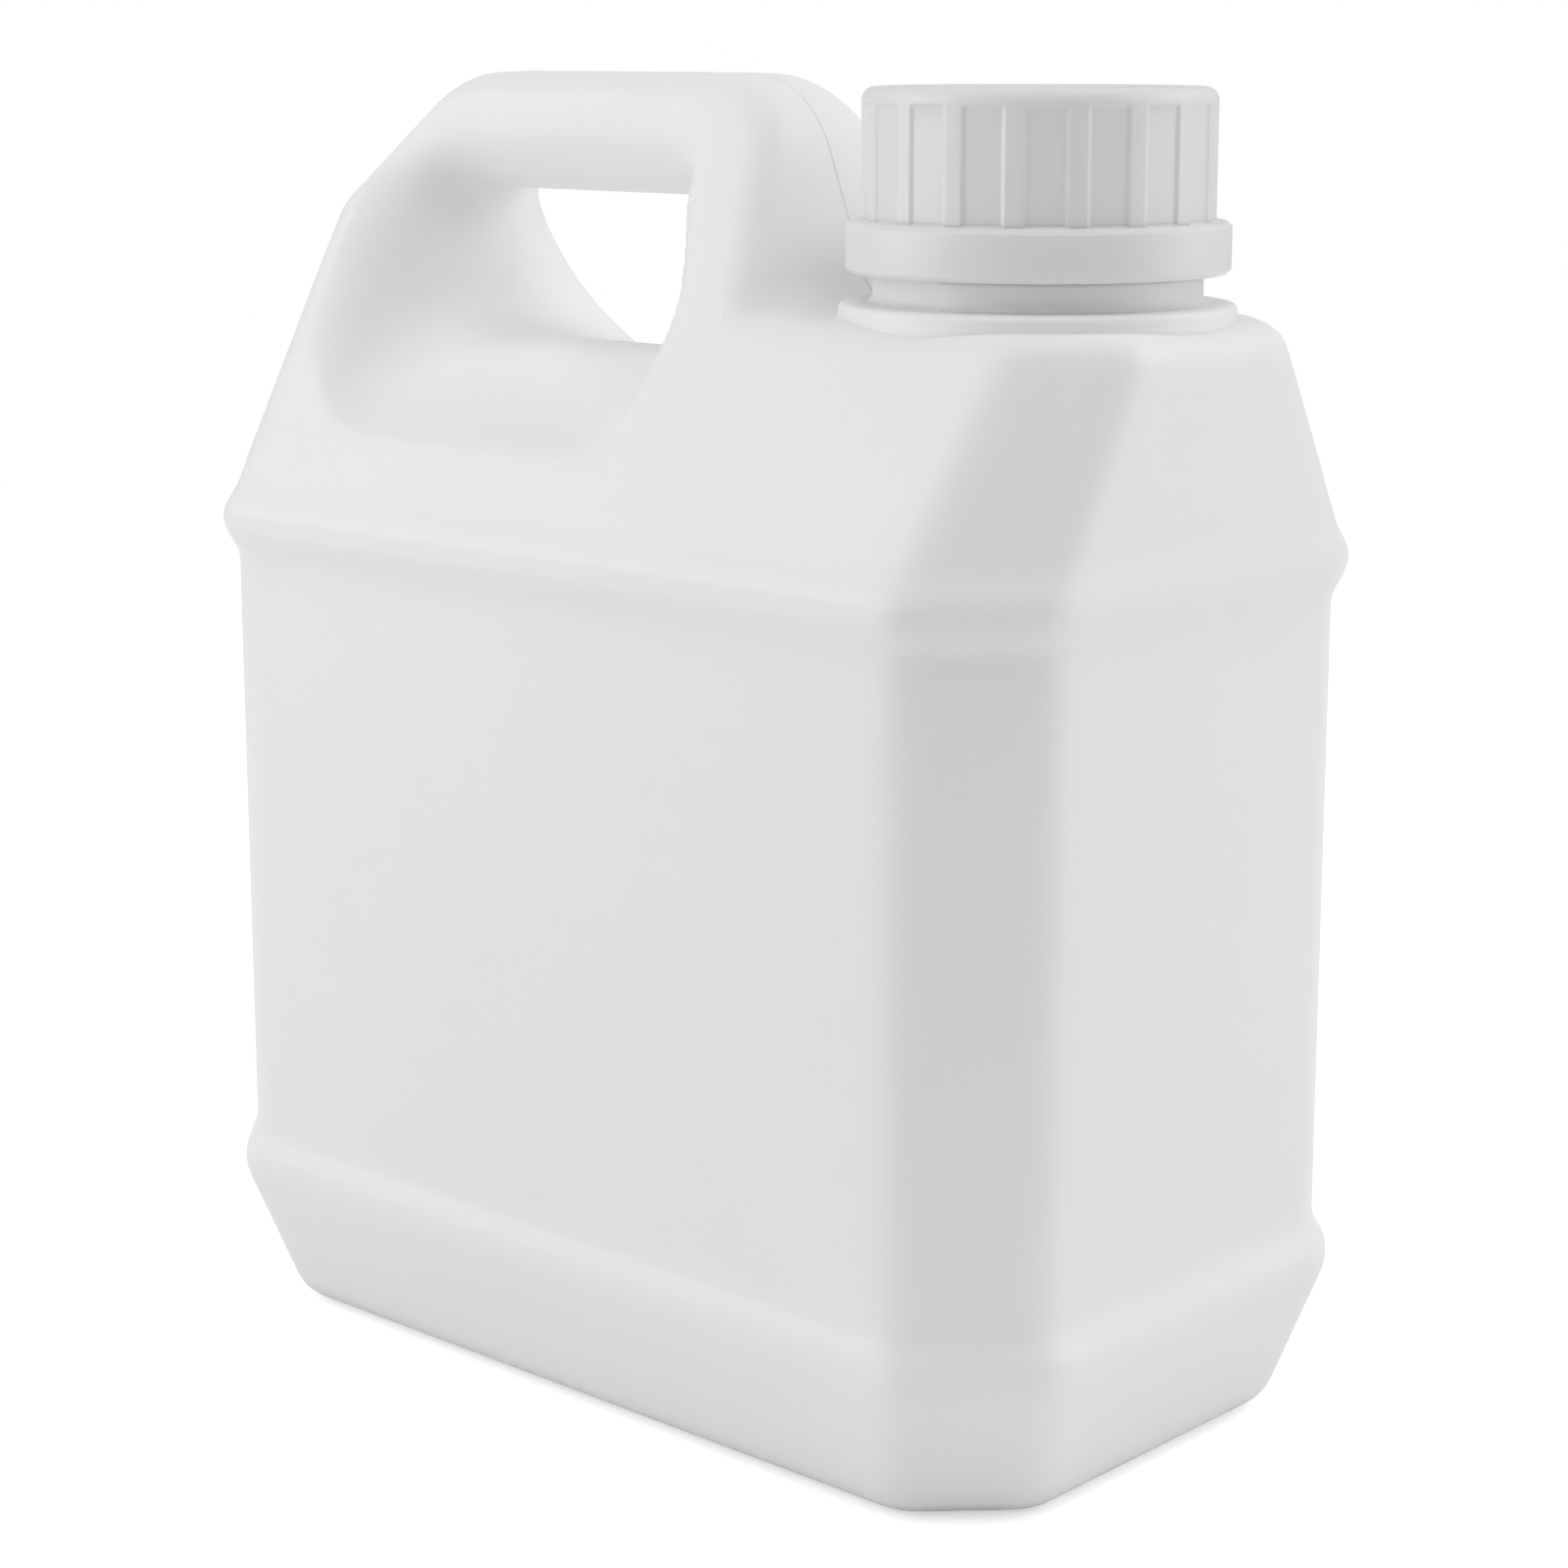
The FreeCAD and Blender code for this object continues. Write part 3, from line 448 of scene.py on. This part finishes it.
def smooth(mesh):
    """Shade every face of a mesh smooth."""
    for face in mesh.polygons:
        face.use_smooth = True


CAN_WHITE, CAN_ROUGHNESS, CAN_GRAIN, CAN_MOTTLE = (0.88, 0.88, 0.875), 0.42, 0.15, 22
can_white = moulded_white("polyethylene_white", CAN_WHITE, CAN_ROUGHNESS, scatter=0.25,
                          grain=CAN_GRAIN, mottle=CAN_MOTTLE)
can.data.materials.clear()
can.data.materials.append(can_white)
smooth(can.data)
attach(can, "root")
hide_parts("container")

# ------------------------------------------------------------ Parting line
# The two mould halves close on the plane of the handle and leave a fine raised line over the grip.
# Under the can the pinched-off tail of the tube stays as a wider ridge. Both are the can's own plastic.
LINE_HALF_WIDTH, LINE_RISE, LINE_SINK = 0.30 * MM, 0.075 * MM, 0.20 * MM
TAIL_HALF_WIDTH, TAIL_RISE, TAIL_SINK = 0.6 * MM, 0.55 * MM, 0.40 * MM
TAIL_HALF_LENGTH = 50 * MM
UNDERSIDE_Z, STANDING_RIM_Z = 2.6 * MM, 1.2 * MM
LINE_SMOOTHING, LINE_FOOT = 2, 1.0 * MM


def mesh_piece(name, verts, faces):
    """New piece with smooth faces."""
    mesh = bpy.data.meshes.new(name)
    mesh.from_pydata(verts, [], faces)
    mesh.update()
    smooth(mesh)
    piece = bpy.data.objects.new(name, mesh)
    scene.collection.objects.link(piece)
    return piece


def line_piece(name, path, half_width, rise, sink):
    """Low ridge along a path in the parting plane; each row holds x, z and the outward x, z."""
    section = [(-1.0, -sink), (-0.75, 0.45 * rise), (-0.35, 0.9 * rise), (0.0, rise),
               (0.35, 0.9 * rise), (0.75, 0.45 * rise), (1.0, -sink)]
    across, last = len(section), len(path) - 1
    verts = [(x + out_x * lift, side * half_width, z + out_z * lift)
             for x, z, out_x, out_z in path for side, lift in section]
    faces = []
    for row in range(last):
        here, there = row * across, (row + 1) * across
        for column in range(across):
            ahead = (column + 1) % across
            faces.append((here + column, there + column, there + ahead, here + ahead))
    faces.append(tuple(range(across)))
    faces.append(tuple(last * across + column for column in reversed(range(across))))
    piece = mesh_piece(name, verts, faces)
    turner = bmesh.new()
    turner.from_mesh(piece.data)
    bmesh.ops.recalc_face_normals(turner, faces=turner.faces)
    turner.to_mesh(piece.data)
    turner.free()
    return piece


def parting_outline(mesh):
    """Outline of the can on the parting plane as rows of x and z; the hole's own loop is shorter."""
    slicer = bmesh.new()
    slicer.from_mesh(mesh)
    cut = bmesh.ops.bisect_plane(
        slicer, geom=slicer.verts[:] + slicer.edges[:] + slicer.faces[:], plane_co=(0, 0, 0),
        plane_no=(0, 1, 0), clear_inner=True, clear_outer=True)["geom_cut"]
    beside = {}
    for edge in (item for item in cut if isinstance(item, bmesh.types.BMEdge)):
        for one, other in (edge.verts, reversed(edge.verts)):
            beside.setdefault(one, []).append(other)
    loops, left_over = [], dict.fromkeys(beside)
    while left_over:
        vert = next(iter(left_over))
        loop = []
        while vert:
            del left_over[vert]
            loop.append((vert.co.x, vert.co.z))
            vert = next((other for other in beside[vert] if other in left_over), None)
        loops.append(loop)
    slicer.free()
    return np.array(max(loops, key=len))


outer_loop = parting_outline(can.data)
for _ in range(LINE_SMOOTHING):
    both_sides = np.roll(outer_loop, 1, axis=0) + np.roll(outer_loop, -1, axis=0)
    outer_loop = (both_sides + 2 * outer_loop) / 4
tangent = np.roll(outer_loop, -1, axis=0) - np.roll(outer_loop, 1, axis=0)
tangent /= np.linalg.norm(tangent, axis=1)[:, None]
outward = np.stack([tangent[:, 1], -tangent[:, 0]], axis=1)
area = np.sum(outer_loop[:, 0] * np.roll(outer_loop[:, 1], -1)
              - outer_loop[:, 1] * np.roll(outer_loop[:, 0], -1))
rows = np.hstack([outer_loop, outward * np.sign(area)])
under = rows[:, 1] < UNDERSIDE_Z
first_above = int(np.flatnonzero(~under & np.roll(under, 1))[0])
rows = np.roll(rows, -first_above, axis=0)
on_grip = (rows[:, 1] > platform_z + LINE_FOOT) & (rows[:, 0] < neck_x - COLLAR_R)
in_hollow = (rows[:, 1] > STANDING_RIM_Z) & (rows[:, 1] < UNDERSIDE_Z)
in_hollow &= np.abs(rows[:, 0]) < TAIL_HALF_LENGTH
line_white = moulded_white("polyethylene_line", CAN_WHITE, CAN_ROUGHNESS, scatter=0.0,
                           grain=CAN_GRAIN, mottle=CAN_MOTTLE)
ridge = line_piece("parting_line", rows[on_grip], LINE_HALF_WIDTH, LINE_RISE, LINE_SINK)
ridge.data.materials.append(line_white)
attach(ridge, "root")
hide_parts("container")
tail = line_piece("pinch_off", rows[in_hollow], TAIL_HALF_WIDTH, TAIL_RISE, TAIL_SINK)
tail.data.materials.append(line_white)
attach(tail, "root")
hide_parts("container")

# ------------------------------------------------------------ Neck
# The neck is moulded with the can: a low collar on the flat, then a plain foot under the band.
# Its upper part carries the thread, which the cap hides, so it is left plain there.
NECK_R = 17.85 * MM
FINISH_R = 16.5 * MM
COLLAR_H = 1.7 * MM
CAP_DISC = 1.8 * MM
rim_z = cap_high.z - CAP_DISC
band_low, band_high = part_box("tamper_band")


def arc_points(centre, radius, start, end, steps):
    """Points along an arc in the profile plane, angles in degrees."""
    angles = np.radians(np.linspace(start, end, steps))
    return [(centre[0] + radius * math.cos(a), centre[1] + radius * math.sin(a)) for a in angles]


def turned_piece(name, profile, steps):
    """Piece turned about the neck's axis from an open profile (radius, height) that starts and ends
    on the axis, or from a closed one that never meets it."""
    verts, faces = [], []
    on_axis = profile[0][0] == 0
    ring = profile[1:-1] if on_axis else profile
    count = len(ring)
    for step in range(steps):
        angle = 2 * math.pi * step / steps
        for radius, height in ring:
            verts.append((neck_x + radius * math.cos(angle), radius * math.sin(angle), height))
    for step in range(steps):
        here, there = step * count, (step + 1) % steps * count
        for row in range(count - 1 if on_axis else count):
            ahead = (row + 1) % count
            faces.append((here + row, there + row, there + ahead, here + ahead))
    if on_axis:
        bottom, top = len(verts), len(verts) + 1
        verts += [(neck_x, 0, profile[0][1]), (neck_x, 0, profile[-1][1])]
        for step in range(steps):
            here, there = step * count, (step + 1) % steps * count
            faces.append((bottom, there, here))
            faces.append((top, here + count - 1, there + count - 1))
    return mesh_piece(name, verts, faces)


collar_z = platform_z + COLLAR_H
collar_side = COLLAR_R + 0.05 * MM
FOOT_SINK, NECK_STEPS = 3 * MM, 288
COLLAR_ROUND, NECK_HOLLOW, BEAD_ROUND = 0.7 * MM, 0.9 * MM, 0.5 * MM
neck_profile = [
    # The collar's side has a little draft and runs down into the can.
    (0, platform_z - FOOT_SINK), (collar_side - 1 * MM, platform_z - FOOT_SINK),
    (collar_side + 0.30 * MM, platform_z - 2.2 * MM), (collar_side + 0.22 * MM, platform_z - 0.1 * MM),
    (collar_side + 0.08 * MM, platform_z + 0.15 * MM), (collar_side, platform_z + 0.5 * MM),
    (collar_side - 0.03 * MM, platform_z + 0.8 * MM),
    # Its upper edge is rounded, and it runs up into the neck in a small hollow.
    *arc_points((collar_side - 0.75 * MM, collar_z - COLLAR_ROUND), COLLAR_ROUND, 0, 90, 6),
    (NECK_R + 2.0 * MM, collar_z + 0.05 * MM),
    *arc_points((NECK_R + NECK_HOLLOW, collar_z + 1.0 * MM), NECK_HOLLOW, 270, 180, 6),
    # The rings stand close together below the band, where the stop ends.
    (NECK_R, collar_z + 1.6 * MM), (NECK_R, band_low.z - 0.5 * MM),
    (NECK_R, band_low.z - 0.2 * MM), (NECK_R, band_low.z - 0.1 * MM),
    # Inside the band and the cap the neck steps in to its plain finish.
    (NECK_R, collar_z + 7.2 * MM),
    *arc_points((NECK_R - BEAD_ROUND, collar_z + 7.3 * MM), BEAD_ROUND, 0, 45, 3),
    (FINISH_R, collar_z + 8.7 * MM), (FINISH_R, rim_z - 0.6 * MM),
    (FINISH_R - 0.6 * MM, rim_z), (0, rim_z)]
neck = turned_piece("neck_collar", neck_profile, NECK_STEPS)

# On each side the foot of the neck carries a stop: a sector that stands out, starts with an upright
# step and runs out gently at its other end. Its angles are in degrees from +X.
STOP_START, STOP_LENGTH = -86.5, 126.5
STEP_BLEND, RUN_OUT = 1.2, 30
STOP_RISE, STOP_LOW, STOP_HIGH = 0.35 * MM, collar_z + 0.12 * MM, band_low.z - 0.15 * MM
points = points_of(neck.data)
bearing = np.degrees(np.arctan2(points[:, 1], points[:, 0] - neck_x))
radius = np.hypot(points[:, 0] - neck_x, points[:, 1])
on_foot = (points[:, 2] > STOP_LOW) & (points[:, 2] < STOP_HIGH)
on_foot &= radius > NECK_R - 0.1 * MM
in_stop = np.zeros(len(points))
for turn in (0.0, 180.0):
    from_start = (bearing - STOP_START - turn) % 360.0
    to_end = STOP_LENGTH - from_start
    full = np.clip(from_start / STEP_BLEND, 0, 1) * np.clip(to_end / RUN_OUT, 0, 1)
    in_stop = np.maximum(in_stop, full)
grown = 1 + np.where(on_foot, STOP_RISE * in_stop, 0) / np.maximum(radius, 0.001 * MM)
points[:, 0] = neck_x + (points[:, 0] - neck_x) * grown
points[:, 1] *= grown
move_points(neck.data, points)
neck.data.materials.append(can_white)
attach(neck, "root")
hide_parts("container")

# ------------------------------------------------------------ Screw cap
# Injection-moulded white polypropylene: a disc and a skirt with upright ribs between flats.
# It is screwed down hard on the neck's rim. The flats run out below the rounded top edge.
CAP_R = (cap_high.x - cap_low.x) / 2
CAP_BORE = 16.9 * MM
CAP_TURN = math.radians(0.6)
RIBS = 18
TOP_ROUND, SKIRT_DROP = 1.5 * MM, 0.45 * MM

# Each flat is a shallow chord between two ribs. Angles are in degrees from the flat's middle: a rib's
# side starts at RIB_FOOT and is full at RIB_CREST, and the columns of the mesh stand closest there.
FLAT_DEPTH, FLAT_BOW = 0.36 * MM, 0.7
RIB_FOOT, RIB_CREST = 5.7, 7.4
half_step = 180.0 / RIBS
half_flat = [0.0, 2.0, 4.0, 5.2, 5.6, 5.9, 6.15, 6.4, 6.65, 6.9, 7.15, 7.4, 7.7, 8.1, 8.8, half_step]
offsets = [-angle for angle in reversed(half_flat[1:-1])] + half_flat
columns = []
for rib in range(RIBS):
    for offset in offsets:
        to_rib = min(max((abs(offset) - RIB_FOOT) / (RIB_CREST - RIB_FOOT), 0.0), 1.0)
        to_rib = to_rib * to_rib * (3 - 2 * to_rib)
        flat_r = (CAP_R - FLAT_DEPTH) / math.cos(math.radians(FLAT_BOW * offset))
        grip_r = min(flat_r + (CAP_R - flat_r) * to_rib, CAP_R)
        angle = CAP_TURN + math.radians(half_step + rib * 2 * half_step + offset)
        columns.append((angle, CAP_R - grip_r))

# Rows of the skirt from the bottom up: how far out, height, and how much of the flats' depth is left.
FLAT_TOP, FLAT_RUN_OUT, RUN_OUT_STEPS = 2.05 * MM, 0.5 * MM, 8
skirt = [(-0.25 * MM, cap_low.z - SKIRT_DROP, 1.0), (0.0, cap_low.z - 0.35 * MM, 1.0)]
skirt += [(0.0, cap_low.z + height * MM, 1.0) for height in (0.2, 2.0, 5.0, 8.0, 10.4)]
for step in range(1, RUN_OUT_STEPS + 1):
    share = step / RUN_OUT_STEPS
    left = 1 - share * share * (3 - 2 * share)
    skirt.append((0.0, cap_high.z - FLAT_TOP + FLAT_RUN_OUT * share, left))
for angle in range(10, 100, 10):
    turn = math.radians(angle)
    inward, down = TOP_ROUND * (1 - math.cos(turn)), TOP_ROUND * (1 - math.sin(turn))
    skirt.append((-inward, cap_high.z - down, 0.0))

# The top is dished by a hair inside its edge, with the small pit of the gate in the middle.
DISH_R, DISH_DEPTH = CAP_R - 3.4 * MM, 0.12 * MM
PIT_DEPTH = 0.32 * MM
crown = [(CAP_R - 3.0 * MM, cap_high.z), (DISH_R, cap_high.z - DISH_DEPTH),
         (10 * MM, cap_high.z - DISH_DEPTH), (1.4 * MM, cap_high.z - DISH_DEPTH),
         (1.1 * MM, cap_high.z - PIT_DEPTH)]
inside = [(CAP_BORE, rim_z), (CAP_BORE, cap_low.z - SKIRT_DROP)]
count = len(columns)
rows = [[ring] * count for ring in inside]
rows += [[(CAP_R + out - depth * left, z) for _, depth in columns] for out, z, left in skirt]
rows += [[ring] * count for ring in crown]
verts = [(neck_x + radius * math.cos(angle), radius * math.sin(angle), z)
         for row in rows for (angle, _), (radius, z) in zip(columns, row)]
faces = []
for row in range(len(rows) - 1):
    for column in range(count):
        here, there = row * count + column, row * count + (column + 1) % count
        faces.append((here, there, there + count, here + count))
bottom, top, last = len(verts), len(verts) + 1, (len(rows) - 1) * count
verts += [(neck_x, 0, rim_z), (neck_x, 0, cap_high.z - PIT_DEPTH)]
for column in range(count):
    following = (column + 1) % count
    faces.append((bottom, following, column))
    faces.append((top, last + column, last + following))
cap = mesh_piece("cap_skirt", verts, faces)
cap_white = moulded_white("polypropylene_white", (0.80, 0.80, 0.795), roughness=0.34,
                          scatter=0.12, grain=0.08, mottle=40)
cap.data.materials.append(cap_white)
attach(cap, "root")
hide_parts("screw_cap")

# ------------------------------------------------------------ Tamper band
# The band is moulded with the cap and hangs under it by thin bridges that tear at the first turn.
# It is a plain ring, wider than the cap, with bevelled edges. Its ledge on top rises to the skirt.
BAND_R = (band_high.x - band_low.x) / 2
BAND_BORE, BAND_H = 17.9 * MM, 5.5 * MM
BEVEL, CREASE = 0.5 * MM, 0.06 * MM
CREASE_SINK = CREASE * 1.1
LEDGE_RISE, BAND_STEPS = 0.30 * MM, 192
band_top = band_low.z + BAND_H
band_profile = [(BAND_BORE, band_low.z + 0.2 * MM), (BAND_BORE + 0.2 * MM, band_low.z)]
for corner_r, corner_z, start in ((BAND_R - BEVEL, band_low.z, 270), (BAND_R, band_low.z + BEVEL, 315),
                                  (BAND_R, band_top - BEVEL, 0), (BAND_R - BEVEL, band_top, 45)):
    middle = math.radians(start + 22.5)
    centre = (corner_r - CREASE_SINK * math.cos(middle), corner_z - CREASE_SINK * math.sin(middle))
    band_profile += arc_points(centre, CREASE, start, start + 45, 3)
band_profile += [(CAP_R + 0.15 * MM, band_top + 0.05 * MM), (CAP_R - 0.25 * MM, band_top + LEDGE_RISE),
                 (BAND_BORE, band_top + LEDGE_RISE)]
band = turned_piece("tear_band", band_profile, BAND_STEPS)
band.data.materials.append(cap_white)
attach(band, "root")
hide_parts("tamper_band")
